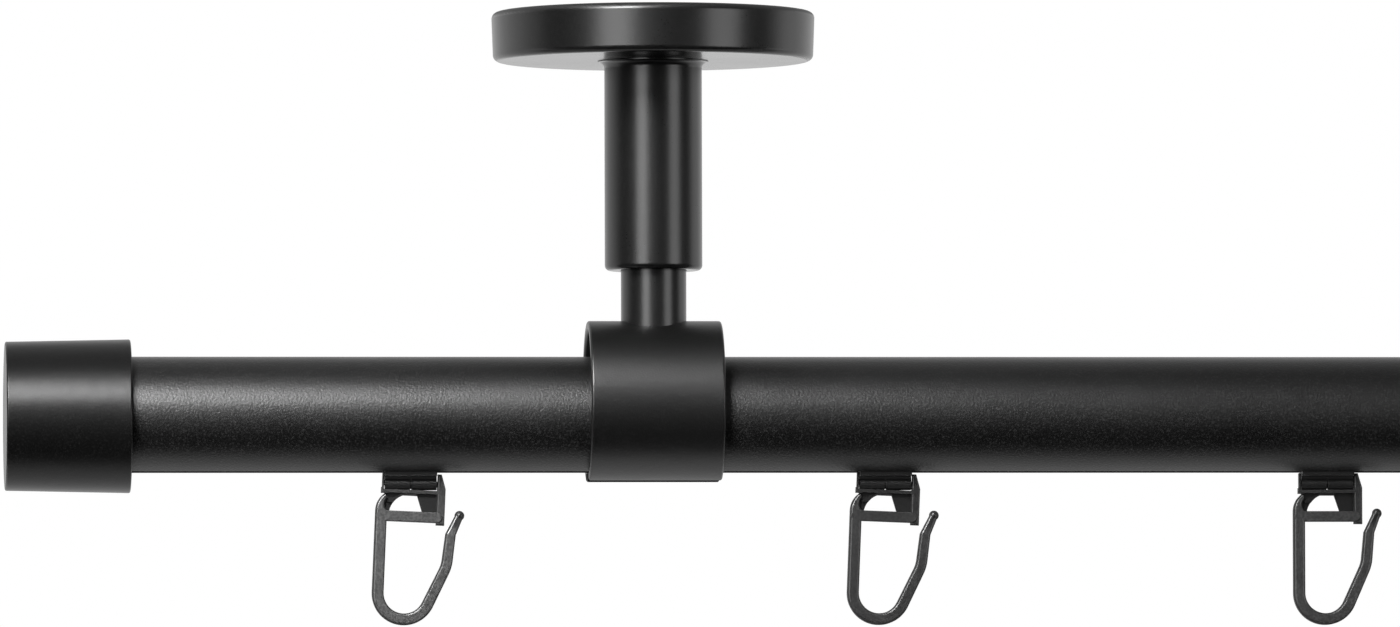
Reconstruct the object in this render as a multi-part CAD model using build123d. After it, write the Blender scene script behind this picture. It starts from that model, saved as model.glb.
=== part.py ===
from build123d import *
import math
import os

# Ceiling-mounted curtain rod with an inner track, in millimetres.
# Origin: on the ceiling face, on the bracket's axis. +Z up, +X along the rod, -Y towards the room.

# Rod tube
TUBE_DIAMETER = 20.0
TUBE_WALL = 1.2
TUBE_LENGTH = 257.0
SLOT_WIDTH = 6.4
RAIL_THICKNESS = 2.3
LIP_ROUND = 0.25
BRACKET_INSET = 105.0
ROD_DROP = 68.0

# End caps
CAP_LENGTH = 21.0
CAP_END_WALL = 4.0
CAP_WALL = 2.5
CAP_FLARE = 0.4
CAP_FIT = 0.1
CAP_EDGE = 0.3
CAP_SCREW_INSET = 8.0

# Ceiling cover and plate
COVER_DIAMETER = 54.4
COVER_DRAFT = 0.3
COVER_HEIGHT = 8.25
COVER_WALL = 1.8
COVER_FLOOR = 2.0
COVER_EDGE = 1.1
PLATE_CLEARANCE = 2.4
PLATE_THICKNESS = 2.5
HUB_DIAMETER = 18.0
SCREW_HOLE = 4.5
SCREW_HEAD = 8.0
SCREW_COUNT = 3

# Telescopic drop
STUD_DIAMETER = 8.0
STUD_RECESS = 0.4
STUD_BITE = 7.5
STUD_HOLE_FIT = 0.1
SLEEVE_DIAMETER = 16.4
SLEEVE_LENGTH = 35.25
SLEEVE_FLARE = 1.1
SLEEVE_FLARE_LIP = 0.15
SLEEVE_EDGE = 0.9
BORE_DEPTH = 26.0
STEM_DIAMETER = 11.0
STEM_OVERLAP = 17.5
STEM_FIT = 0.1
STEM_EDGE = 0.6
SLEEVE_SCREW_RISE = 5.0

# Ring
RING_LENGTH = 22.5
RING_WALL = 1.45
RING_RISE = 2.32
RING_MOUTH = 7.0
RING_EDGE = 0.42
RING_SEAT_GAP = 0.05
RING_SCREW_ANGLE = 45.0

# Screws
GRUB_DIAMETER = 4.0
CAP_GRUB_DIAMETER = 3.0
GRUB_RECESS = 0.2
GRUB_TIP_GAP = 0.1
GRUB_CHAMFER = 0.3
SOCKET_SHARE = 0.5
SOCKET_DEPTH = 1.2
PAN_SHANK = 5.0
PAN_HEAD = 8.5
PAN_HEAD_HEIGHT = 2.2
PAN_BITE = 9.0
PAN_SOCKET_DEPTH = 1.3
SCREW_FIT = 0.05

# Gliders
LEFT_GLIDER_OFFSET = 40.75
INNER_GLIDER_OFFSET = 39.1
RIGHT_GLIDER_INSET = 38.3
HEAD_LENGTH = 10.0
HEAD_HEIGHT = 4.2
HEAD_ROUND = 2.2
HEAD_TOP_ROUND = 1.0
RAIL_GAP = 0.1
HEAD_SIDE_GAP = 0.4
NECK_GAP = 0.4
NECK_BELOW_TUBE = 0.1
BLOCK_SHARE = 0.75
JAW_LEFT = 4.55
JAW_RIGHT = 4.15
JAW_WALL = 0.45
GROOVE_WIDTH = 0.25
GROOVE_DEPTH = 0.2
JAW_MOUTH = 0.85
PIN_DROP = 1.3
PIN_DIAMETER = 1.0
PIN_PLAY = 0.25

# Hooks, measured from the pin's middle
HOOK_TILTS = (2.5, 2.3, 0.0)
HOOK_DEPTH = 2.4
EYE_DEPTH = 1.9
EYE_EDGE = 0.16
STRAND = 1.95
LEG_STRAND = 1.75
TIP_STRAND = 1.35
LEG_DEPTH = 2.2
STRAND_ROUND = 0.45
STRAND_ROUND_SHARE = 0.45
EYE_LEFT_GAP = 0.12
EYE_RIGHT_GAP = 0.15
EYE_RISE = 1.7
UPRIGHT = 0.3
HEEL_REACH = 0.13
HEEL_INSET = 0.6
HEEL_DROP = 0.8
HEEL_HEIGHT = 0.3
SHOULDER_RUN = 1.42
SHOULDER_RISE = 2.85
SHOULDER_TIP = 0.9
SHOULDER_WAIST = 1.25
RIGHT_BAR = 1.4
RIGHT_BAR_BOW = 0.75
RIGHT_BAR_KNEE = 0.75
RIGHT_BAR_EDGE = 0.28
CROSSBAR_DROP = 4.7
CROSSBAR_HEIGHT = 1.75
NOSE_REACH = 1.0
FOOT = 0.4
WEB_DEPTH = 0.8
WEB_SETBACK = 0.4
SADDLE_GAP = 0.25
SADDLE_RISE = 0.9
SADDLE_LIP = 0.2
BAND = 0.6
RIB_DEPTH = 1.6
RIB_RISE = 0.35
RIB_FOOT = 1.4
RIB_RUN = 0.9
WINDOW_TOP_LEFT = 1.4
WINDOW_TOP_RIGHT = 1.0
WINDOW_FOOT_LEFT = 3.6
WINDOW_FOOT_RIGHT = 1.9
WINDOW_BOW = 0.45
STEM_LENGTH = 18.45
BEND_RADIUS = 4.4
BEND_SWEEP = 156.0
LEG_LENGTH = 7.2
ELBOW_RADIUS = 6.0
UPPER_LEG = 5.4
UPPER_LEAN = 5.0
TIP_LENGTH = 3.5
TIP_LEAN = 23.0
TIP_BALL = 1.65

# Sizes that follow from those above
plate_radius = COVER_DIAMETER / 2 - COVER_WALL - PLATE_CLEARANCE
screw_circle = plate_radius + HUB_DIAMETER / 2
tube_radius = TUBE_DIAMETER / 2
tube_bore = tube_radius - TUBE_WALL
tube_left = -BRACKET_INSET
tube_right = tube_left + TUBE_LENGTH
lip_z = -math.sqrt(tube_radius**2 - (SLOT_WIDTH / 2) ** 2)
rail_z = lip_z + RAIL_THICKNESS
cap_end_diameter = TUBE_DIAMETER + 2 * CAP_WALL
cap_mouth_diameter = cap_end_diameter + 2 * CAP_FLARE
sleeve_top = -COVER_HEIGHT
sleeve_bottom = sleeve_top - SLEEVE_LENGTH
ring_seat = math.sqrt(tube_radius**2 - (RING_MOUTH / 2) ** 2) + RING_RISE + RING_SEAT_GAP
ring_bore = math.hypot(ring_seat, RING_MOUTH / 2)
ring_radius = ring_bore + RING_WALL
pin_z = -tube_radius - PIN_DROP
pin_hole = PIN_DIAMETER / 2 + PIN_PLAY
jaw_radius = pin_hole + JAW_WALL
saddle_radius = jaw_radius + SADDLE_GAP
eye_left = -JAW_LEFT - EYE_LEFT_GAP
eye_right = JAW_RIGHT + EYE_RIGHT_GAP
stem_x = eye_left - UPRIGHT
glider_places = (
    -LEFT_GLIDER_OFFSET,
    INNER_GLIDER_OFFSET,
    tube_right - RIGHT_GLIDER_INSET,
)
rod = Pos(0, 0, -ROD_DROP)


def turned(*points):
    """Solid of revolution about Z from a closed outline of (radius, height) points."""
    outline = Polyline(*[(radius, 0, height) for radius, height in points], close=True)
    return revolve(make_face(outline), Axis.Z)


def profile_along_x(sketch, start, end):
    """Extrusion along X of a section drawn with (y, z) coordinates."""
    return Pos(start, 0, 0) * extrude(Plane.YZ * sketch, amount=end - start)


def lines_in_xz(*points, close=False):
    """Straight lines through (x, z) points."""
    return Polyline(*[(x, 0, z) for x, z in points], close=close)


def arc_in_xz(*points):
    """Circular arc through three (x, z) points."""
    return ThreePointArc(*[(x, 0, z) for x, z in points])


def plate_in_xz(outline, depth):
    """Flat piece of the given depth, centred on Y, from a closed outline in the XZ plane."""
    return extrude(make_face(outline), amount=depth / 2, dir=(0, 1, 0), both=True)


def rod_at(diameter, start, end):
    """Cylinder on the Z axis between two heights."""
    low, high = sorted((start, end))
    return Pos(0, 0, low) * Cylinder(
        diameter / 2, high - low, align=(Align.CENTER, Align.CENTER, Align.MIN)
    )


def grub_screw(diameter, length):
    """Headless screw on +Z with its tip at the origin and a hexagon socket at its far end."""
    body = chamfer(rod_at(diameter, 0, length).edges().filter_by(GeomType.CIRCLE), GRUB_CHAMFER)
    socket = extrude(RegularPolygon(diameter * SOCKET_SHARE / 2, 6, major_radius=False), SOCKET_DEPTH)
    return body - Pos(0, 0, length - SOCKET_DEPTH) * socket


# Fixed bracket
def make_ceiling_plate():
    """Steel disc with a tapped hub and countersunk holes for the ceiling screws."""
    hub_foot = -COVER_HEIGHT + COVER_FLOOR
    plate = rod_at(2 * plate_radius, 0, -PLATE_THICKNESS) + rod_at(HUB_DIAMETER, 0, hub_foot)
    plate -= rod_at(STUD_DIAMETER + 2 * SCREW_FIT, 0, hub_foot)
    sink = (SCREW_HEAD - SCREW_HOLE) / 2
    hole = rod_at(SCREW_HOLE, 0, -PLATE_THICKNESS)
    hole += Pos(0, 0, -PLATE_THICKNESS) * Cone(
        SCREW_HEAD / 2, SCREW_HOLE / 2, sink, align=(Align.CENTER, Align.CENTER, Align.MIN)
    )
    for place in PolarLocations(screw_circle / 2, SCREW_COUNT, start_angle=90):
        plate -= place * hole
    return plate


def make_flange_cover():
    """Round cup, slightly narrower at its foot, with rounded outer edges."""
    top = COVER_DIAMETER / 2
    foot = top - COVER_DRAFT
    cup = turned((0, 0), (top, 0), (foot, -COVER_HEIGHT), (0, -COVER_HEIGHT))
    cup = fillet(cup.edges().filter_by(GeomType.CIRCLE), COVER_EDGE)
    cup -= turned(
        (0, 0),
        (top - COVER_WALL, 0),
        (foot - COVER_WALL, -COVER_HEIGHT + COVER_FLOOR),
        (0, -COVER_HEIGHT + COVER_FLOOR),
    )
    return cup - rod_at(STUD_DIAMETER + 2 * STUD_HOLE_FIT, 0, -COVER_HEIGHT)


def make_hanger_stud():
    """Headless stud that joins plate and sleeve and holds the cover between them."""
    stud = rod_at(STUD_DIAMETER, -STUD_RECESS, sleeve_top - STUD_BITE)
    return chamfer(stud.edges().filter_by(GeomType.CIRCLE), GRUB_CHAMFER)


def make_sleeve():
    """Outer tube of the drop: flared against the cover, tapped at the top, bored for the stem."""
    radius = SLEEVE_DIAMETER / 2
    flare = radius + SLEEVE_FLARE
    neck = sleeve_top - SLEEVE_FLARE_LIP
    outline = Polyline((radius, 0, neck - SLEEVE_FLARE), (radius, 0, sleeve_bottom), (0, 0, sleeve_bottom))
    outline += Polyline((0, 0, sleeve_bottom), (0, 0, sleeve_top), (flare, 0, sleeve_top), (flare, 0, neck))
    bend = math.sqrt(0.5) * SLEEVE_FLARE
    outline += ThreePointArc(
        (flare, 0, neck),
        (flare - bend, 0, neck - SLEEVE_FLARE + bend),
        (radius, 0, neck - SLEEVE_FLARE),
    )
    sleeve = revolve(make_face(outline), Axis.Z)
    foot = sleeve.edges().filter_by(GeomType.CIRCLE).sort_by(Axis.Z)[0]
    sleeve = fillet(foot, SLEEVE_EDGE)
    sleeve -= rod_at(STEM_DIAMETER + 2 * STEM_FIT, sleeve_bottom, sleeve_bottom + BORE_DEPTH)
    sleeve -= rod_at(STUD_DIAMETER + 2 * SCREW_FIT, sleeve_top, sleeve_bottom)
    tapped = rod_at(GRUB_DIAMETER + 2 * SCREW_FIT, 0, SLEEVE_DIAMETER)
    return sleeve - sleeve_screw_seat() * tapped


def sleeve_screw_seat():
    """Place of the sleeve's grub screw: on the stem's rear, pointing out along +Y."""
    return Pos(0, 0, sleeve_bottom + SLEEVE_SCREW_RISE) * Rot(-90, 0, 0)


def make_sleeve_grub_screw():
    """Grub screw that clamps the stem in the sleeve."""
    tip = STEM_DIAMETER / 2 + GRUB_TIP_GAP
    length = SLEEVE_DIAMETER / 2 - GRUB_RECESS - tip
    return sleeve_screw_seat() * Pos(0, 0, tip) * grub_screw(GRUB_DIAMETER, length)


# Rod
def pan_seat_z():
    """Height of the pan head's seat under the ring's crown, above the rod axis."""
    return RING_RISE + math.sqrt(ring_bore**2 - (PAN_HEAD / 2) ** 2)


def make_stem():
    """Inner rod of the drop, cut to a saddle on the ring and tapped for the ring screw."""
    top = sleeve_bottom + STEM_OVERLAP + ROD_DROP
    stem = rod_at(STEM_DIAMETER, RING_RISE, top)
    stem = chamfer(stem.edges().filter_by(GeomType.CIRCLE).sort_by(Axis.Z)[-1], STEM_EDGE)
    stem -= profile_along_x(Pos(0, RING_RISE) * Circle(ring_radius), -STEM_DIAMETER, STEM_DIAMETER)
    stem -= rod_at(PAN_SHANK + 2 * SCREW_FIT, RING_RISE, pan_seat_z() + PAN_BITE + SOCKET_DEPTH)
    return rod * stem


def make_ring():
    """Hoop round the tube, open at the bottom, with rounded rims and two screw holes."""
    section = Circle(ring_radius) - Circle(ring_bore)
    section -= Pos(0, -ring_radius / 2) * Rectangle(RING_MOUTH, ring_radius)
    hoop = profile_along_x(Pos(0, RING_RISE) * section, -RING_LENGTH / 2, RING_LENGTH / 2)
    rims = hoop.edges().group_by(Axis.X)
    hoop = fillet(rims[0] + rims[-1], RING_EDGE)
    hoop -= rod_at(PAN_SHANK + 2 * SCREW_FIT, 0, RING_RISE + ring_radius)
    tapped = rod_at(GRUB_DIAMETER + 2 * SCREW_FIT, 0, RING_RISE + 2 * ring_radius)
    return rod * (hoop - ring_screw_seat() * tapped)


def ring_screw_seat():
    """Direction of the ring's grub screw: from the tube's axis, up and to the rear."""
    return Rot(RING_SCREW_ANGLE - 90, 0, 0)


def ring_reach(radius):
    """Distance from the tube's axis to a circle about the ring's centre, along the grub screw."""
    rise = RING_RISE * math.sin(math.radians(RING_SCREW_ANGLE))
    return rise + math.sqrt(rise**2 - RING_RISE**2 + radius**2)


def make_ring_screw():
    """Pan head screw from inside the ring up into the stem."""
    seat = pan_seat_z()
    head = rod_at(PAN_HEAD, seat - PAN_HEAD_HEIGHT, seat)
    lower_rim = head.edges().filter_by(GeomType.CIRCLE).sort_by(Axis.Z)[0]
    head = fillet(lower_rim, PAN_HEAD_HEIGHT / 2)
    screw = head + rod_at(PAN_SHANK, seat, seat + PAN_BITE)
    socket = extrude(RegularPolygon(PAN_SHANK * SOCKET_SHARE / 2, 6, major_radius=False), PAN_SOCKET_DEPTH)
    return rod * (screw - Pos(0, 0, seat - PAN_HEAD_HEIGHT) * socket)


def make_ring_grub_screw():
    """Grub screw that presses the tube down onto the ring's lips."""
    tip = tube_radius + GRUB_TIP_GAP
    length = ring_reach(ring_radius) - GRUB_RECESS - tip
    return rod * ring_screw_seat() * Pos(0, 0, tip) * grub_screw(GRUB_DIAMETER, length)


def make_track_tube():
    """Round tube with a slot along its bottom and two flat running rails inside."""
    channel = Circle(tube_bore) - Pos(0, rail_z - tube_radius) * Rectangle(TUBE_DIAMETER, TUBE_DIAMETER)
    slot = Pos(0, -tube_radius) * Rectangle(SLOT_WIDTH, TUBE_DIAMETER)
    section = Circle(tube_radius) - channel - slot
    lips = section.vertices().sort_by(Axis.Y)[:2]
    section = fillet(lips, LIP_ROUND)
    return rod * profile_along_x(section, tube_left, tube_right)


def make_end_cap(end_x, outward):
    """Drafted cup over one end of the tube, with a tapped hole at the rear."""
    wall_foot = CAP_END_WALL - CAP_LENGTH
    cup = turned(
        (0, CAP_END_WALL),
        (cap_end_diameter / 2, CAP_END_WALL),
        (cap_mouth_diameter / 2, wall_foot),
        (0, wall_foot),
    )
    cup = fillet(cup.edges().filter_by(GeomType.CIRCLE), CAP_EDGE)
    cup -= rod_at(TUBE_DIAMETER + 2 * CAP_FIT, wall_foot, 0)
    mouth = cup.edges().filter_by(GeomType.CIRCLE).group_by(Axis.Z)[0].sort_by(SortBy.RADIUS)[0]
    cup = chamfer(mouth, CAP_EDGE)
    tapped = rod_at(CAP_GRUB_DIAMETER + 2 * SCREW_FIT, 0, cap_mouth_diameter)
    cup = Pos(end_x, 0, 0) * Rot(0, 90 * outward, 0) * cup
    return rod * (cup - cap_screw_seat(end_x, outward) * tapped)


def cap_screw_seat(end_x, outward):
    """Place of a cap's grub screw: on the tube's rear, pointing out along +Y."""
    return Pos(end_x - outward * CAP_SCREW_INSET, 0, 0) * Rot(-90, 0, 0)


def make_cap_grub_screw(end_x, outward):
    """Grub screw that holds a cap on the tube."""
    share = (CAP_END_WALL + CAP_SCREW_INSET) / CAP_LENGTH
    outer = cap_end_diameter + share * (cap_mouth_diameter - cap_end_diameter)
    tip = tube_radius + GRUB_TIP_GAP
    length = outer / 2 - GRUB_RECESS - tip
    return rod * cap_screw_seat(end_x, outward) * Pos(0, 0, tip) * grub_screw(CAP_GRUB_DIAMETER, length)


# Curtain carriers
def make_glider(place):
    """Moulded slider: a head on the rails, a neck in the slot and clip jaws for the hook's pin."""
    head_foot = rail_z + RAIL_GAP
    half_head = math.sqrt(tube_bore**2 - head_foot**2) - HEAD_SIDE_GAP
    head = extrude(RectangleRounded(HEAD_LENGTH, 2 * half_head, HEAD_ROUND), HEAD_HEIGHT)
    head = fillet(head.faces().sort_by(Axis.Z)[-1].edges(), HEAD_TOP_ROUND)
    head = Pos(0, 0, head_foot) * head
    half_neck = SLOT_WIDTH / 2 - NECK_GAP
    neck_foot = -tube_radius - NECK_BELOW_TUBE
    half_block = BLOCK_SHARE * jaw_radius
    neck = Polyline(
        (-half_neck, head_foot),
        (half_neck, head_foot),
        (half_neck, neck_foot),
        (half_block, neck_foot),
        (half_block, pin_z),
        (-half_block, pin_z),
        (-half_block, neck_foot),
        (-half_neck, neck_foot),
        close=True,
    )
    section = make_face(neck) + Pos(0, pin_z) * Circle(jaw_radius)
    section -= Pos(0, pin_z) * Circle(pin_hole)
    section -= Pos(0, pin_z - jaw_radius / 2) * Rectangle(JAW_MOUTH, jaw_radius)
    shank = profile_along_x(section, -JAW_LEFT, JAW_RIGHT)
    groove = Circle(jaw_radius) - Circle(jaw_radius - GROOVE_DEPTH)
    groove -= Pos(0, jaw_radius / 2) * Rectangle(2 * half_block, jaw_radius)
    groove_left = (JAW_RIGHT - JAW_LEFT - GROOVE_WIDTH) / 2
    shank -= profile_along_x(Pos(0, pin_z) * groove, groove_left, groove_left + GROOVE_WIDTH)
    return rod * Pos(place, 0, 0) * (head + shank)


def polar(length, lean):
    """Step of the given length, leaning from +Z towards +X by an angle in degrees."""
    return Vector(math.sin(math.radians(lean)), 0, math.cos(math.radians(lean))) * length


def strand_section(point, lean, width, depth):
    """Rounded section of the hook's strand, square to a path that leaves the point at the given lean."""
    place = Plane(point, x_dir=polar(1, lean + 90), z_dir=polar(1, lean))
    corner = min(STRAND_ROUND, STRAND_ROUND_SHARE * min(width, depth))
    return place * RectangleRounded(width, depth, corner)


def soft_plate(outline, depth, edge):
    """Flat moulded piece with its front and rear edges rounded."""
    plate = plate_in_xz(outline, depth)
    faces = plate.faces().sort_by(Axis.Y)
    return fillet(faces[0].edges() + faces[-1].edges(), edge)


def make_hook_strand():
    """Stem, round bend, long leg with an elbow, and a tapered tip that ends in a ball."""
    stem_top = Vector(stem_x, 0, -CROSSBAR_DROP)
    bend_start = Vector(stem_x, 0, -STEM_LENGTH)
    bend_centre = bend_start + Vector(BEND_RADIUS, 0, 0)
    bend_middle = bend_centre + polar(BEND_RADIUS, 270 - BEND_SWEEP / 2)
    bend_end = bend_centre + polar(BEND_RADIUS, 270 - BEND_SWEEP)
    leg_lean = 180 - BEND_SWEEP
    elbow = bend_end + polar(LEG_LENGTH, leg_lean)
    upper = elbow + polar(UPPER_LEG, UPPER_LEAN)
    tip = upper + polar(TIP_LENGTH, TIP_LEAN)

    stem_path = Line(stem_top, bend_start) + ThreePointArc(bend_start, bend_middle, bend_end)
    strand = sweep(strand_section(stem_top, 180, STRAND, HOOK_DEPTH), stem_path)
    leg_path = FilletPolyline(bend_end, elbow, upper, radius=ELBOW_RADIUS)
    leg_sections = [
        strand_section(bend_end, leg_lean, STRAND, HOOK_DEPTH),
        strand_section(upper, UPPER_LEAN, LEG_STRAND, LEG_DEPTH),
    ]
    strand += sweep(leg_sections, leg_path, multisection=True)
    strand += loft(
        [
            strand_section(upper, UPPER_LEAN, LEG_STRAND, LEG_DEPTH),
            strand_section(tip, TIP_LEAN, TIP_STRAND, TIP_STRAND),
        ]
    )
    return strand + Pos(*tip) * Sphere(TIP_BALL / 2)


def shoulder_end():
    """Outer corner of the shoulder, where it tucks in under the upright's heel."""
    return stem_x - STRAND / 2 + SHOULDER_RUN, SHOULDER_RISE - CROSSBAR_DROP


def make_hook_shoulder():
    """Top of the stem, curved in over the eye and narrowed towards its end."""
    radius = (SHOULDER_RUN**2 + SHOULDER_RISE**2) / (2 * SHOULDER_RUN)
    centre = Vector(stem_x - STRAND / 2 + radius, 0, -CROSSBAR_DROP)
    full_turn = math.degrees(math.asin(SHOULDER_RISE / radius))
    sections = []
    for share, width, depth in (
        (0.0, STRAND, HOOK_DEPTH),
        (0.5, SHOULDER_WAIST, (HOOK_DEPTH + EYE_DEPTH) / 2),
        (1.0, SHOULDER_TIP, EYE_DEPTH),
    ):
        lean = share * full_turn
        point = centre + polar(radius - width / 2, lean - 90)
        sections.append(strand_section(point, lean, width, depth))
    return loft(sections)


def make_hook_web():
    """Pierced web set back from the front, with a rib over its arched window and a lip along its top."""
    foot = -CROSSBAR_DROP
    crossbar_middle = foot - CROSSBAR_HEIGHT / 2
    web_top = -SADDLE_RISE
    window_top = -saddle_radius - BAND
    web_right = eye_right + RIGHT_BAR / 2
    web = plate_in_xz(
        lines_in_xz(
            (stem_x, crossbar_middle),
            (stem_x, foot),
            shoulder_end(),
            (eye_left, web_top),
            (web_right, web_top),
            (web_right, crossbar_middle),
            close=True,
        ),
        WEB_DEPTH,
    )
    rib_left = stem_x + STRAND / 2
    rib_foot = foot + RIB_FOOT
    rib = plate_in_xz(
        lines_in_xz(
            (rib_left, rib_foot),
            (rib_left, rib_foot + RIB_RISE),
            (-RIB_RUN, -saddle_radius),
            (WINDOW_TOP_RIGHT, -saddle_radius),
            (WINDOW_TOP_RIGHT, rib_foot),
            close=True,
        ),
        RIB_DEPTH,
    )
    run = WINDOW_FOOT_LEFT - WINDOW_TOP_LEFT
    rise = window_top - foot
    slant = math.hypot(run, rise)
    bow = (
        -(WINDOW_FOOT_LEFT + WINDOW_TOP_LEFT) / 2 - WINDOW_BOW * rise / slant,
        (foot + window_top) / 2 + WINDOW_BOW * run / slant,
    )
    window = lines_in_xz(
        (-WINDOW_FOOT_LEFT, foot),
        (WINDOW_FOOT_RIGHT, foot),
        (WINDOW_TOP_RIGHT, window_top),
        (-WINDOW_TOP_LEFT, window_top),
    )
    window += arc_in_xz((-WINDOW_TOP_LEFT, window_top), bow, (-WINDOW_FOOT_LEFT, foot))
    lip_foot = -saddle_radius - SADDLE_LIP
    lip = plate_in_xz(
        lines_in_xz(
            (eye_left, web_top),
            (eye_left, lip_foot),
            (web_right, lip_foot),
            (web_right, web_top),
            close=True,
        ),
        EYE_DEPTH,
    )
    return Pos(0, WEB_SETBACK, 0) * web + rib + lip - plate_in_xz(window, 2 * HOOK_DEPTH)


def make_hook_eye():
    """Closed eye round the glider's jaws: upright, shoulder, saddled web, right bar, crossbar and pin."""
    foot = -CROSSBAR_DROP
    upright_outer = eye_left - UPRIGHT
    heel_outer = upright_outer - HEEL_REACH
    heel_foot = -saddle_radius - HEEL_HEIGHT
    heel_inner = eye_left + HEEL_INSET
    upright = lines_in_xz(
        (eye_left, EYE_RISE),
        (upright_outer, EYE_RISE),
        (upright_outer, -HEEL_DROP),
        (heel_outer, -HEEL_DROP),
        (heel_outer, heel_foot),
        (heel_inner, heel_foot),
        (heel_inner, -SADDLE_RISE),
        (eye_left, -SADDLE_RISE),
        close=True,
    )
    eye = plate_in_xz(upright, EYE_DEPTH) + make_hook_shoulder() + make_hook_web()
    eye -= profile_along_x(Circle(saddle_radius), eye_left, eye_right)

    bar_outer = eye_right + RIGHT_BAR
    bar_foot = foot - CROSSBAR_HEIGHT - FOOT
    right_bar = lines_in_xz(
        (eye_right, bar_foot),
        (bar_outer, bar_foot),
        (bar_outer, -RIGHT_BAR_KNEE),
        (bar_outer - RIGHT_BAR_BOW, EYE_RISE),
        (eye_right, EYE_RISE),
        close=True,
    )
    eye += soft_plate(right_bar, EYE_DEPTH, RIGHT_BAR_EDGE)
    nose = eye_right + NOSE_REACH - CROSSBAR_HEIGHT / 2
    bar_section = Pos((stem_x + nose) / 2, 0) * SlotCenterToCenter(nose - stem_x, CROSSBAR_HEIGHT)
    crossbar = extrude(Plane.XZ * bar_section, amount=HOOK_DEPTH / 2, both=True)
    crossbar_faces = crossbar.faces().sort_by(Axis.Y)
    crossbar = fillet(crossbar_faces[0].edges() + crossbar_faces[-1].edges(), EYE_EDGE)
    eye += Pos(0, 0, foot - CROSSBAR_HEIGHT / 2) * crossbar
    pin = profile_along_x(Circle(PIN_DIAMETER / 2), upright_outer, eye_right + RIGHT_BAR / 2)
    return eye + pin


def main():
    """Make every piece and write one file for each."""
    pieces = {
        "ceiling_plate": make_ceiling_plate(),
        "flange_cover": make_flange_cover(),
        "hanger_stud": make_hanger_stud(),
        "sleeve": make_sleeve(),
        "sleeve_grub_screw": make_sleeve_grub_screw(),
        "stem": make_stem(),
        "ring": make_ring(),
        "ring_screw": make_ring_screw(),
        "ring_grub_screw": make_ring_grub_screw(),
        "track_tube": make_track_tube(),
        "left_end_cap": make_end_cap(tube_left, -1),
        "right_end_cap": make_end_cap(tube_right, 1),
        "left_cap_grub_screw": make_cap_grub_screw(tube_left, -1),
        "right_cap_grub_screw": make_cap_grub_screw(tube_right, 1),
    }
    hook = make_hook_eye() + make_hook_strand()
    for number, (place, tilt) in enumerate(zip(glider_places, HOOK_TILTS), start=1):
        pieces[f"glider_{number}"] = make_glider(place)
        pieces[f"hook_{number}"] = rod * Pos(place, 0, pin_z) * Rot(0, tilt, 0) * hook
    os.makedirs("parts", exist_ok=True)
    for name, piece in pieces.items():
        export_step(piece, f"parts/{name}.step")


main()
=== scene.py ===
"""Finishes, stage and camera for a satin black ceiling rod with an inner track and curtain hooks."""

import logging
import math
from dataclasses import dataclass, field
from enum import Enum
from typing import ClassVar, Dict, List, Optional, Sequence, Tuple

import bpy
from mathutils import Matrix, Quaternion, Vector

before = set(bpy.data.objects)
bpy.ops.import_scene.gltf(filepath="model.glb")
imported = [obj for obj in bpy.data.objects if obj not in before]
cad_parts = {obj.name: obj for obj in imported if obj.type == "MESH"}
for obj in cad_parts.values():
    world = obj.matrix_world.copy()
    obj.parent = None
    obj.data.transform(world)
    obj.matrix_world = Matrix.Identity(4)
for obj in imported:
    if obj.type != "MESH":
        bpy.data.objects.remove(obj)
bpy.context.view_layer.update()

log = logging.getLogger("curtain_rod")

Colour = Tuple[float, float, float, float]
Place = Tuple[float, float, float]
Span = Tuple[float, float]
Socket = bpy.types.NodeSocket

MILLIMETRE = 0.001
NOISE_MIDDLE = 0.5
PLAIN_SPECULAR = 0.5
RISING: Span = (0.0, 1.0)
FALLING: Span = (1.0, 0.0)
WHITE: Colour = (1.0, 1.0, 1.0, 1.0)
ROD_LEFT: Place = (-0.06, 0.0, -0.068)
ROD_MIDDLE: Place = (0.0, 0.0, -0.04)
CARRIERS: Sequence[int] = (1, 2, 3)


class Ray(Enum):
    """Kinds of ray that the stage answers in its own way."""

    CAMERA = "Is Camera Ray"
    GLOSSY = "Is Glossy Ray"
    TRANSMISSION = "Is Transmission Ray"


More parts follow.
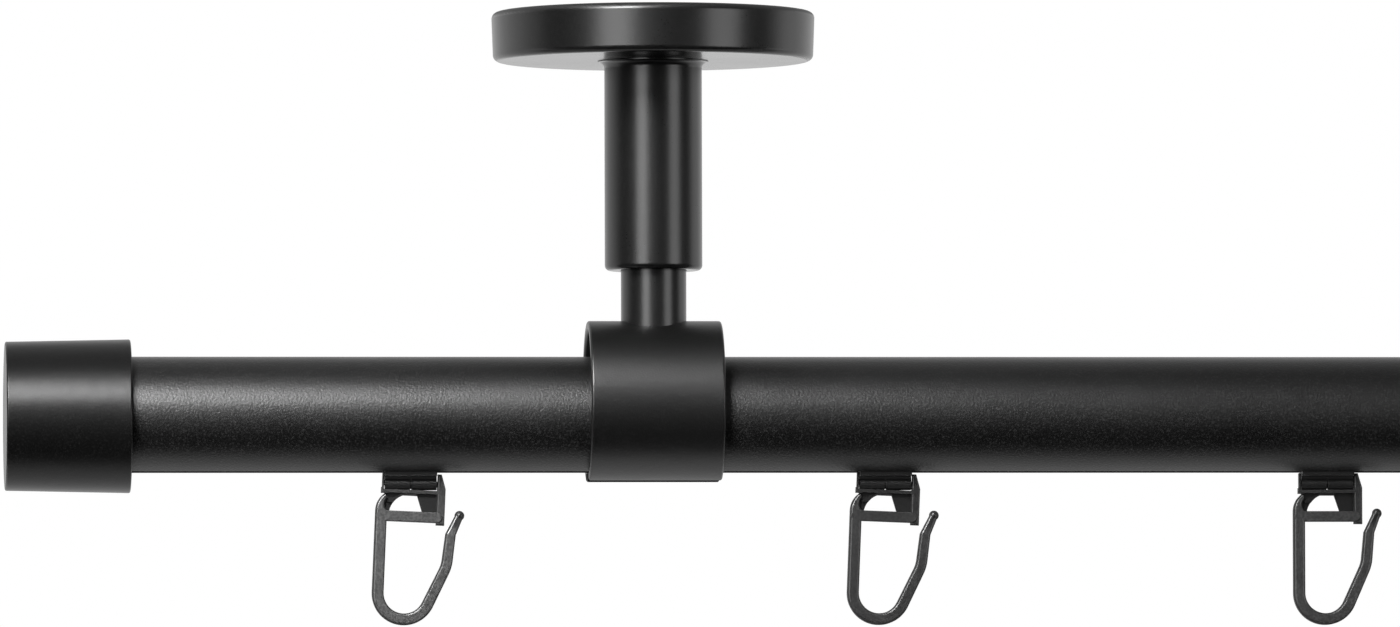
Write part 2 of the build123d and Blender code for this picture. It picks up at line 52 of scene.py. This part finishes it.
class Wiring:
    """Adds and joins shader nodes in one node tree."""

    def __init__(self, tree: bpy.types.NodeTree) -> None:
        """Keep the node tree of a material, a world or a group."""
        self.tree = tree

    def add(
        self, kind: str, settings: Optional[Dict[str, object]] = None, **inputs: object
    ) -> bpy.types.Node:
        """Add a node, set its properties and fill or join its inputs.

        Args:
            kind: Blender's name of the node type.
            settings: Properties of the node itself.
            **inputs: Input sockets by name, with an underscore for a space, or in1, in2 for a
                numbered one; a socket is joined and anything else is set.

        Returns:
            The new node.
        """
        node = self.tree.nodes.new(kind)
        for name, value in (settings or {}).items():
            setattr(node, name, value)
        for name, value in inputs.items():
            numbered = name.startswith("in") and name[2:].isdigit()
            socket = node.inputs[int(name[2:])] if numbered else node.inputs[name.replace("_", " ")]
            if isinstance(value, Socket):
                self.tree.links.new(value, socket)
            else:
                socket.default_value = value
        return node

    def math(self, operation: str, first: object, second: object = 0.0) -> Socket:
        """Add a Math node on two values or sockets and give its result."""
        return self.add("ShaderNodeMath", {"operation": operation}, in0=first, in1=second).outputs[0]

    def axis(self, vector: Socket, name: str) -> Socket:
        """Read the X, Y or Z of a vector."""
        return self.add("ShaderNodeSeparateXYZ", Vector=vector).outputs[name]

    def blend(self, share: Socket, first: object, second: object) -> Socket:
        """Mix two values or sockets, with all of the second at a share of 1."""
        return self.add("ShaderNodeMix", in0=share, in2=first, in3=second).outputs[0]

    def remap(self, value: Socket, span: Span, to: Sequence[float]) -> Socket:
        """Map a value smoothly from one span to another and hold it at the ends.

        Args:
            value: Socket to read.
            span: Lowest and highest value read.
            to: Values given at those two.

        Returns:
            The result's socket.
        """
        node = self.add(
            "ShaderNodeMapRange",
            {"interpolation_type": "SMOOTHSTEP"},
            in0=value, in1=span[0], in2=span[1], in3=to[0], in4=to[1],
        )
        return node.outputs["Result"]

    def noise(self, vector: Socket, scale: object, detail: float, rough: float) -> Socket:
        """Add a noise texture.

        Args:
            vector: Coordinates to read.
            scale: Features per metre.
            detail: Octaves.
            rough: Share that each octave keeps.

        Returns:
            The noise value's socket, 0 to 1.
        """
        node = self.add("ShaderNodeTexNoise", Vector=vector, Scale=scale, Detail=detail, Roughness=rough)
        return node.outputs[0]


class SurfaceGroups:
    """Shader node groups that several finishes share.

    Scales are features per metre. Each pair is where a mask starts and ends, or the levels that it
    gives there.
    """

    OUTPUTS: ClassVar[Sequence[str]] = ("Height", "Roughness", "Shade")

    PATCH_SCALE: ClassVar[float] = 60.0
    WET_TO_DRY: ClassVar[Span] = (-0.98, -0.80)
    CLEAN_TO_DUSTY: ClassVar[Span] = (0.15, 0.60)
    DUST_LEVELS: ClassVar[Span] = (1.0, 4.0)
    FLECKS: ClassVar[Span] = (0.48, 0.72)

    FLOW_SCALE: ClassVar[float] = 350.0
    SKIN_SHARE: ClassVar[float] = 0.25
    SEAM_EDGE: ClassVar[Span] = (0.4, 1.0)
    # Spans of the painted shade mask: how far out and how flat a face must be to take the lighter shade.
    PROUD: ClassVar[Span] = (0.8, 1.0)
    FLAT: ClassVar[Span] = (0.75, 0.97)
    STREAKS: ClassVar[Span] = (0.3, 0.7)
    STREAK_LEVELS: ClassVar[Span] = (0.75, 1.0)
    SPECKS: ClassVar[Span] = (0.35, 0.65)
    SPECK_LEVELS: ClassVar[Span] = (0.45, 1.0)

    def __init__(self) -> None:
        """Build each group once."""
        self.coat = self._coat()
        self.moulded = self._moulded()

    def _start(self, name: str, inputs: Sequence[str]) -> Tuple[Wiring, bpy.types.Node, bpy.types.Node]:
        """Make an empty group with a Vector input, float inputs and the float outputs.

        Args:
            name: Name of the group.
            inputs: Names of its float inputs.

        Returns:
            Wiring of the group, its input node and its output node.
        """
        tree = bpy.data.node_groups.new(name, "ShaderNodeTree")
        tree.interface.new_socket("Vector", in_out="INPUT", socket_type="NodeSocketVector")
        for socket in inputs:
            tree.interface.new_socket(socket, in_out="INPUT", socket_type="NodeSocketFloat")
        for socket in self.OUTPUTS:
            tree.interface.new_socket(socket, in_out="OUTPUT", socket_type="NodeSocketFloat")
        wiring = Wiring(tree)
        return wiring, wiring.add("NodeGroupInput"), wiring.add("NodeGroupOutput")

    def _end(
        self, wiring: Wiring, made: bpy.types.Node, height: Socket, rough: Socket, shade: Socket
    ) -> bpy.types.NodeTree:
        """Join a group's outputs.

        Args:
            wiring: Wiring of the group.
            made: Output node of the group.
            height: Height socket.
            rough: Roughness socket.
            shade: Socket that mixes two shades.

        Returns:
            The group.
        """
        for name, socket in zip(self.OUTPUTS, (height, rough, shade)):
            wiring.tree.links.new(socket, made.inputs[name])
        return wiring.tree

    @staticmethod
    def _uneven(wiring: Wiring, given: bpy.types.Node, first: Socket, second: Socket) -> Socket:
        """Vary a group's roughness by two noises.

        Args:
            wiring: Wiring of the group.
            given: Input node of the group.
            first: One noise.
            second: The other noise.

        Returns:
            The roughness socket.
        """
        swing = wiring.math("SUBTRACT", wiring.math("ADD", first, second), 2 * NOISE_MIDDLE)
        change = wiring.math("MULTIPLY", swing, given.outputs["Roughness Spread"])
        return wiring.math("ADD", given.outputs["Roughness"], change)

    def _coat(self) -> bpy.types.NodeTree:
        """Sprayed coat: fine grain over a soft orange peel, with faint patches of gloss.

        Faces that look down took the spray wetter and are glossier than the sides, and faces that
        look up are matt with overspray.

        Returns:
            The group.
        """
        wiring, given, made = self._start("coat_surface", (
            "Looking Up", "Grain Scale", "Grain Share", "Peel Scale",
            "Roughness", "Roughness Spread", "Dry Sides",
        ))
        place = given.outputs["Vector"]
        upward = given.outputs["Looking Up"]
        share = given.outputs["Grain Share"]
        grain = wiring.noise(place, given.outputs["Grain Scale"], detail=2.0, rough=0.6)
        peel = wiring.noise(place, given.outputs["Peel Scale"], detail=1.0, rough=0.4)
        patch = wiring.noise(place, self.PATCH_SCALE, detail=3.0, rough=0.55)
        fine = wiring.math("MULTIPLY", grain, share)
        broad = wiring.math("MULTIPLY", peel, wiring.math("SUBTRACT", 1.0, share))
        height = wiring.math("ADD", fine, broad)
        dry = wiring.remap(upward, self.WET_TO_DRY, RISING)
        dust = wiring.remap(upward, self.CLEAN_TO_DUSTY, self.DUST_LEVELS)
        dull = wiring.math("MULTIPLY", wiring.math("MULTIPLY", dry, dust), given.outputs["Dry Sides"])
        rough = wiring.math("ADD", self._uneven(wiring, given, grain, patch), dull)
        shade = wiring.remap(grain, self.FLECKS, RISING)
        return self._end(wiring, made, height, rough, shade)

    def _moulded(self) -> bpy.types.NodeTree:
        """Moulded plastic: eroded tool texture, flow streaks and the parting line on the middle plane.

        Rims and recesses get a painted shade; only the flat faces that stand furthest out take the
        lighter shade.

        Returns:
            The group.
        """
        wiring, given, made = self._start("moulded_surface", (
            "Facing", "Skin Scale", "Seam Width", "Rubbed From",
            "Roughness", "Roughness Spread", "Rim Roughness",
        ))
        place = given.outputs["Vector"]
        skin = wiring.noise(place, given.outputs["Skin Scale"], detail=2.0, rough=0.5)
        flow = wiring.noise(place, self.FLOW_SCALE, detail=2.0, rough=0.5)
        out = wiring.math("ABSOLUTE", wiring.axis(place, "Y"))
        from_seam = wiring.math("DIVIDE", out, given.outputs["Seam Width"])
        seam = wiring.remap(from_seam, self.SEAM_EDGE, FALLING)
        # Painted shade: faces set back from the front, and rims that turn away from it, get the darker
        # shade.
        to_face = wiring.math("DIVIDE", out, given.outputs["Rubbed From"])
        proud = wiring.remap(to_face, self.PROUD, RISING)
        flat = wiring.remap(given.outputs["Facing"], self.FLAT, RISING)
        rubbed = wiring.math("MULTIPLY", proud, flat)
        height = wiring.math("ADD", wiring.math("MULTIPLY", skin, self.SKIN_SHARE), seam)
        rim = wiring.math("MULTIPLY", wiring.math("SUBTRACT", 1.0, flat), given.outputs["Rim Roughness"])
        rough = wiring.math("ADD", self._uneven(wiring, given, skin, flow), rim)
        streaks = wiring.remap(flow, self.STREAKS, self.STREAK_LEVELS)
        specks = wiring.remap(skin, self.SPECKS, self.SPECK_LEVELS)
        # Painted shade on rims and recesses, times streaks and specks of the plastic's own tone.
        shade = wiring.math("MULTIPLY", rubbed, wiring.math("MULTIPLY", streaks, specks))
        return self._end(wiring, made, height, rough, shade)


@dataclass(frozen=True)
class Finish:
    """What every finish has: a name, two shades, a roughness and how far that varies."""

    name: str
    dark: Colour
    light: Colour
    roughness: float
    spread: float

    def _begin(self) -> Tuple[bpy.types.Material, Wiring, Socket]:
        """Start the material and its coordinates.

        Returns:
            The material, its wiring and its Object coordinates.
        """
        material = bpy.data.materials.new(self.name)
        material.use_nodes = True
        material.node_tree.nodes.clear()
        wiring = Wiring(material.node_tree)
        return material, wiring, wiring.add("ShaderNodeTexCoord").outputs["Object"]

    @staticmethod
    def _normal(wiring: Wiring, name: str) -> Socket:
        """Read the X, Y or Z of the normal in the piece's own frame."""
        return wiring.axis(wiring.add("ShaderNodeTexCoord").outputs["Normal"], name)

    def _close(
        self, wiring: Wiring, shade: Socket, rough: Socket, height: Socket, depth: float, **fixed: float
    ) -> None:
        """Join colour, roughness and bump to the shader and the output.

        Args:
            wiring: Wiring of the material.
            shade: Socket that mixes the two shades.
            rough: Roughness socket.
            height: Height socket.
            depth: Depth of the bump in metres.
            **fixed: Values set on the shader's own sockets.
        """
        mix = wiring.add(
            "ShaderNodeMix", {"data_type": "RGBA"}, in0=shade, in6=self.dark, in7=self.light,
        )
        bump = wiring.add("ShaderNodeBump", Strength=1.0, Distance=depth, Height=height)
        shader = wiring.add(
            "ShaderNodeBsdfPrincipled",
            Base_Color=mix.outputs[2], Roughness=rough, Normal=bump.outputs["Normal"], **fixed,
        )
        wiring.add("ShaderNodeOutputMaterial", Surface=shader.outputs["BSDF"])


@dataclass(frozen=True)
class SprayedCoat(Finish):
    """Satin coat sprayed on metal."""

    dry: float
    grain: float
    grain_share: float
    peel: float
    depth: float
    specular: float = PLAIN_SPECULAR

    def make(self, groups: SurfaceGroups) -> bpy.types.Material:
        """Build the material.

        Args:
            groups: Shared node groups.

        Returns:
            The material.
        """
        material, wiring, place = self._begin()
        surface = wiring.add(
            "ShaderNodeGroup", {"node_tree": groups.coat},
            Vector=place, Looking_Up=self._normal(wiring, "Z"),
            Grain_Scale=1 / self.grain, Grain_Share=self.grain_share, Peel_Scale=1 / self.peel,
            Roughness=self.roughness, Roughness_Spread=self.spread, Dry_Sides=self.dry,
        )
        self._close(
            wiring, surface.outputs["Shade"], surface.outputs["Roughness"],
            surface.outputs["Height"], self.depth, Specular_IOR_Level=self.specular,
        )
        return material


@dataclass(frozen=True)
class MouldedPlastic(Finish):
    """Injection moulded plastic with its parting line."""

    skin: float
    seam: float
    # Distance from the middle plane beyond which flat faces take the lighter shade; nearer faces get
    # painted shade.
    rubbed_from: float
    rim: float
    depth: float

    def make(self, groups: SurfaceGroups) -> bpy.types.Material:
        """Build the material.

        Args:
            groups: Shared node groups.

        Returns:
            The material.
        """
        material, wiring, place = self._begin()
        surface = wiring.add(
            "ShaderNodeGroup", {"node_tree": groups.moulded},
            Vector=place, Facing=wiring.math("ABSOLUTE", self._normal(wiring, "Y")),
            Skin_Scale=1 / self.skin, Seam_Width=self.seam, Rubbed_From=self.rubbed_from,
            Roughness=self.roughness, Roughness_Spread=self.spread, Rim_Roughness=self.rim,
        )
        self._close(
            wiring, surface.outputs["Shade"], surface.outputs["Roughness"],
            surface.outputs["Height"], self.depth, Specular_IOR_Level=PLAIN_SPECULAR,
        )
        return material


@dataclass(frozen=True)
class PlatedSteel(Finish):
    """Plated or blackened steel with fine turning marks or, on a stud, a thread."""

    CLOUD_SCALE: ClassVar[float] = 260.0
    HALF_TURN: ClassVar[float] = 0.5

    depth: float
    marks: float = 0.0
    pitch: float = 0.0

    def make(self, groups: SurfaceGroups) -> bpy.types.Material:
        """Build the material.

        Args:
            groups: Shared node groups, not used by bare steel.

        Returns:
            The material.
        """
        material, wiring, place = self._begin()
        cloud = wiring.noise(place, self.CLOUD_SCALE, detail=4.0, rough=0.6)
        if self.pitch:
            turn = wiring.math("MULTIPLY", wiring.axis(place, "Z"), 1 / self.pitch)
            height = wiring.math("PINGPONG", turn, self.HALF_TURN)
        else:
            height = wiring.noise(place, 1 / self.marks, detail=2.0, rough=0.5)
        swing = wiring.math("SUBTRACT", cloud, NOISE_MIDDLE)
        rough = wiring.math("ADD", self.roughness, wiring.math("MULTIPLY", swing, self.spread))
        self._close(wiring, cloud, rough, height, self.depth, Metallic=1.0)
        return material


def grey(level: float, warm: float = 0.0) -> Colour:
    """Colour of a linear grey level, with a warm share added to red and taken from blue."""
    return (level * (1 + warm), level, level * (1 - warm), 1.0)


class FinishSet:
    """Every finish of the rod, made once."""

    # Each hook's lighter shade is painted light: set to how brightly that hook is lit, as lit and shaded
    # copies of one plastic.
    hook_painted_light_levels: Sequence[Tuple[str, float]] = (
        ("hook_rubbed_plastic", 0.060),
        ("hook_fresh_plastic", 0.025),
        ("hook_used_plastic", 0.042),
    )

    def __init__(self) -> None:
        """Build the shared groups and the materials."""
        groups = SurfaceGroups()
        tube = SprayedCoat(
            name="tube_satin_black", dark=grey(0.001), light=grey(0.010), roughness=0.39, spread=0.10,
            dry=0.0, grain=0.36 * MILLIMETRE, grain_share=0.90, peel=1.6 * MILLIMETRE,
            depth=0.054 * MILLIMETRE,
        )
        bracket = SprayedCoat(
            name="bracket_satin_black", dark=grey(0.002), light=grey(0.005), roughness=0.21, spread=0.05,
            dry=0.08, grain=0.32 * MILLIMETRE, grain_share=0.35, peel=1.8 * MILLIMETRE,
            depth=0.012 * MILLIMETRE,
        )
        ring = SprayedCoat(
            name="ring_satin_black", dark=grey(0.002), light=grey(0.005), roughness=0.37, spread=0.05,
            dry=0.0, grain=0.34 * MILLIMETRE, grain_share=0.50, peel=1.8 * MILLIMETRE,
            depth=0.040 * MILLIMETRE,
        )
        cap = SprayedCoat(
            name="cap_satin_black", dark=grey(0.002), light=grey(0.005), roughness=0.34, spread=0.04,
            dry=0.0, grain=0.34 * MILLIMETRE, grain_share=0.40, peel=2.0 * MILLIMETRE,
            depth=0.030 * MILLIMETRE, specular=0.28,
        )
        hooks = [
            MouldedPlastic(
                name=name, dark=grey(0.006), light=grey(rubbed), roughness=0.30, spread=0.06,
                skin=0.42 * MILLIMETRE, seam=0.06 * MILLIMETRE, rubbed_from=1.05 * MILLIMETRE,
                rim=0.42, depth=0.008 * MILLIMETRE,
            )
            for name, rubbed in self.hook_painted_light_levels
        ]
        # The glider's set-back faces and rims get the same painted shade as the hooks.
        glider = MouldedPlastic(
            name="glider_black_plastic", dark=grey(0.008), light=grey(0.014),
            roughness=0.32, spread=0.06,
            skin=0.18 * MILLIMETRE, seam=0.06 * MILLIMETRE, rubbed_from=0.55 * MILLIMETRE,
            rim=0.0, depth=0.012 * MILLIMETRE,
        )
        plate = PlatedSteel(
            name="plate_zinc", dark=grey(0.46, -0.02), light=grey(0.60, 0.01),
            roughness=0.38, spread=0.20, marks=0.25 * MILLIMETRE, depth=0.004 * MILLIMETRE,
        )
        stud = PlatedSteel(
            name="stud_zinc_thread", dark=grey(0.44, -0.02), light=grey(0.58, 0.01),
            roughness=0.32, spread=0.15, pitch=1.25 * MILLIMETRE, depth=0.6 * MILLIMETRE,
        )
        screw = PlatedSteel(
            name="screw_black_oxide", dark=grey(0.020), light=grey(0.045),
            roughness=0.42, spread=0.15, marks=0.20 * MILLIMETRE, depth=0.004 * MILLIMETRE,
        )
        self.tube = tube.make(groups)
        self.bracket = bracket.make(groups)
        self.ring = ring.make(groups)
        self.cap = cap.make(groups)
        self.hooks = [hook.make(groups) for hook in hooks]
        self.glider = glider.make(groups)
        self.plate = plate.make(groups)
        self.stud = stud.make(groups)
        self.screw = screw.make(groups)


def dress(node: str, material: bpy.types.Material) -> None:
    """Give a piece its material in place of the plain one.

    Args:
        node: Name of the piece.
        material: Material to show.
    """
    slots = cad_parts[node].material_slots
    for slot in slots:
        slot.material = material
    log.info("%s wears %s", node, material.name)


@dataclass
class CeilingBracket:
    """Cover, hidden plate and outer tube of the drop."""

    coated: Sequence[str] = ("flange_cover", "sleeve")
    plate: str = "ceiling_plate"
    stud: str = "hanger_stud"
    screw: str = "sleeve_grub_screw"

    def dress(self, finishes: FinishSet) -> None:
        """Give each piece of the bracket its finish.

        Args:
            finishes: Finishes of the rod.
        """
        for node in self.coated:
            dress(node, finishes.bracket)
        dress(self.plate, finishes.plate)
        dress(self.stud, finishes.stud)
        dress(self.screw, finishes.screw)


@dataclass
class SlottedRod:
    """Stem, ring, slotted tube and end caps."""

    stem: str = "stem"
    ring: str = "ring"
    tube: str = "track_tube"
    caps: Sequence[str] = ("left_end_cap", "right_end_cap")
    screws: Sequence[str] = (
        "ring_screw", "ring_grub_screw", "left_cap_grub_screw", "right_cap_grub_screw",
    )

    def dress(self, finishes: FinishSet) -> None:
        """Give each piece of the rod its finish.

        Args:
            finishes: Finishes of the rod.
        """
        dress(self.stem, finishes.bracket)
        dress(self.ring, finishes.ring)
        dress(self.tube, finishes.tube)
        for node in self.caps:
            dress(node, finishes.cap)
        for node in self.screws:
            dress(node, finishes.screw)


@dataclass
class CurtainCarrier:
    """One glider with the hook that hangs in it."""

    number: int

    def dress(self, finishes: FinishSet) -> None:
        """Give glider and hook their finishes."""
        dress(f"glider_{self.number}", finishes.glider)
        dress(f"hook_{self.number}", finishes.hooks[self.number - 1])


@dataclass(frozen=True)
class SoftBox:
    """Soft lamp on a stand, with a grid that narrows its beam."""

    name: str
    place: Place
    aim: Place
    width: float
    height: float
    beam: float
    watts: float

    def set_up(self) -> None:
        """Add the lamp and turn it to its aim."""
        data = bpy.data.lights.new(self.name, "AREA")
        data.shape = "RECTANGLE"
        data.size = self.width
        data.size_y = self.height
        data.spread = math.radians(self.beam)
        data.energy = self.watts
        lamp = bpy.data.objects.new(self.name, data)
        lamp.location = Vector(self.place)
        lamp.rotation_euler = (Vector(self.aim) - lamp.location).to_track_quat("-Z", "Y").to_euler()
        lamp.visible_camera = False
        bpy.context.scene.collection.objects.link(lamp)


@dataclass
class Studio:
    """White room, pale floor, soft lamps and the camera."""

    aim: Vector = field(default_factory=lambda: Vector((0.0078, 0.0, -0.0507)))
    eye: Vector = field(default_factory=lambda: Vector((-0.188, -3.0, -0.199)))
    view_width: float = 0.2353
    roll: float = -0.16
    sensor_width: float = 36.0
    farthest: float = 100.0
    floor_level: float = -0.30
    floor_size: float = 40.0
    floor_grey: float = 0.86
    floor_evenness: float = 0.70
    floor_glow: Span = (-0.10, 0.02)
    shadow_reach: Span = (0.25, 0.75)
    front_level: float = 0.17
    top_level: float = 0.50
    ambient: float = 0.30
    front_to_back: Span = (-0.1, 0.5)
    wall_to_top: Span = (0.35, 0.80)
    lamps: List[SoftBox] = field(default_factory=lambda: [
        SoftBox(
            name="strip_left_low", place=(-0.22, -0.42, 0.20), aim=ROD_LEFT,
            width=0.22, height=0.12, beam=55.0, watts=0.50,
        ),
        SoftBox(
            name="strip_left_high", place=(-0.22, -0.35, 0.30), aim=ROD_LEFT,
            width=0.22, height=0.12, beam=55.0, watts=0.29,
        ),
        SoftBox(
            name="box_left", place=(-0.62, -1.05, -0.05), aim=ROD_MIDDLE,
            width=0.52, height=0.60, beam=180.0, watts=4.8,
        ),
        SoftBox(
            name="box_right", place=(0.87, -0.80, -0.05), aim=ROD_MIDDLE,
            width=0.52, height=0.60, beam=180.0, watts=3.3,
        ),
        SoftBox(
            name="box_right_side", place=(1.20, 0.30, 0.0), aim=ROD_MIDDLE,
            width=0.40, height=0.80, beam=180.0, watts=0.5,
        ),
    ])

    def build(self) -> None:
        """Set up room, floor, lamps and camera."""
        bpy.context.scene.view_settings.view_transform = "Standard"
        self._room()
        self._floor()
        for lamp in self.lamps:
            lamp.set_up()
        self._camera()

    @staticmethod
    def _shown(wiring: Wiring) -> Tuple[Socket, Socket]:
        """Tell rays from the camera and rays off shiny surfaces from the rest.

        Args:
            wiring: Wiring of the world or a stage material.

        Returns:
            Socket for camera rays and socket for glossy and transmission rays.
        """
        rays = wiring.add("ShaderNodeLightPath").outputs
        shiny = wiring.math("MAXIMUM", rays[Ray.GLOSSY.value], rays[Ray.TRANSMISSION.value])
        return rays[Ray.CAMERA.value], shiny

    def _room(self) -> None:
        """White room that is dimmer on the side in front of the rod."""
        world = bpy.data.worlds.new("white_room")
        world.use_nodes = True
        world.node_tree.nodes.clear()
        wiring = Wiring(world.node_tree)
        camera, shiny = self._shown(wiring)
        way = wiring.add("ShaderNodeTexCoord").outputs["Generated"]
        behind = wiring.remap(wiring.axis(way, "Y"), self.front_to_back, RISING)
        wall = wiring.remap(wiring.axis(way, "Z"), self.wall_to_top, (1.0, self.top_level))
        walls = wiring.blend(behind, self.front_level, wall)
        level = wiring.blend(shiny, self.ambient, walls)
        level = wiring.blend(camera, level, 1.0)
        light = wiring.add("ShaderNodeBackground", Color=WHITE, Strength=level)
        wiring.add("ShaderNodeOutputWorld", Surface=light.outputs[0])
        bpy.context.scene.world = world

    def _floor(self) -> None:
        """Pale floor that shows the rod's shadow and is dim in front, where shiny pieces mirror it."""
        bpy.ops.mesh.primitive_plane_add(size=self.floor_size, location=(0.0, 0.0, self.floor_level))
        floor = bpy.context.object
        floor.name = "floor"
        material = bpy.data.materials.new("pale_floor")
        material.use_nodes = True
        material.node_tree.nodes.clear()
        wiring = Wiring(material.node_tree)
        camera, shiny = self._shown(wiring)
        place = wiring.add("ShaderNodeTexCoord").outputs["Object"]
        away = wiring.add("ShaderNodeVectorMath", {"operation": "LENGTH"}, in0=place).outputs["Value"]
        glow = wiring.remap(wiring.axis(place, "Y"), self.floor_glow, RISING)
        mirrored = wiring.add("ShaderNodeEmission", Color=WHITE, Strength=glow)
        paint = wiring.add("ShaderNodeBsdfDiffuse", Color=grey(self.floor_grey))
        tone = wiring.add("ShaderNodeEmission", Color=grey(self.floor_grey), Strength=1.0)
        evenness = wiring.remap(away, self.shadow_reach, (self.floor_evenness, 1.0))
        even = wiring.math("MULTIPLY", camera, evenness)
        seen = wiring.add("ShaderNodeMixShader", in0=even, in1=paint.outputs[0], in2=tone.outputs[0])
        both = wiring.add("ShaderNodeMixShader", in0=shiny, in1=seen.outputs[0], in2=mirrored.outputs[0])
        wiring.add("ShaderNodeOutputMaterial", Surface=both.outputs[0])
        floor.data.materials.append(material)

    def _camera(self) -> None:
        """Camera at the photograph's angle, a little from the left and from below."""
        data = bpy.data.cameras.new("camera")
        camera = bpy.data.objects.new("camera", data)
        way = self.aim - self.eye
        data.sensor_width = self.sensor_width
        data.lens = self.sensor_width * way.length / self.view_width
        data.clip_end = self.farthest
        camera.location = self.eye
        turn = way.to_track_quat("-Z", "Y") @ Quaternion((0.0, 0.0, 1.0), math.radians(self.roll))
        camera.rotation_euler = turn.to_euler()
        bpy.context.scene.collection.objects.link(camera)
        bpy.context.scene.camera = camera


def main() -> None:
    """Dress every sub-assembly in order, then set the stage."""
    logging.basicConfig(level=logging.INFO)
    finishes = FinishSet()
    CeilingBracket().dress(finishes)
    SlottedRod().dress(finishes)
    for number in CARRIERS:
        CurtainCarrier(number).dress(finishes)
    Studio().build()


if __name__ == "__main__":
    main()
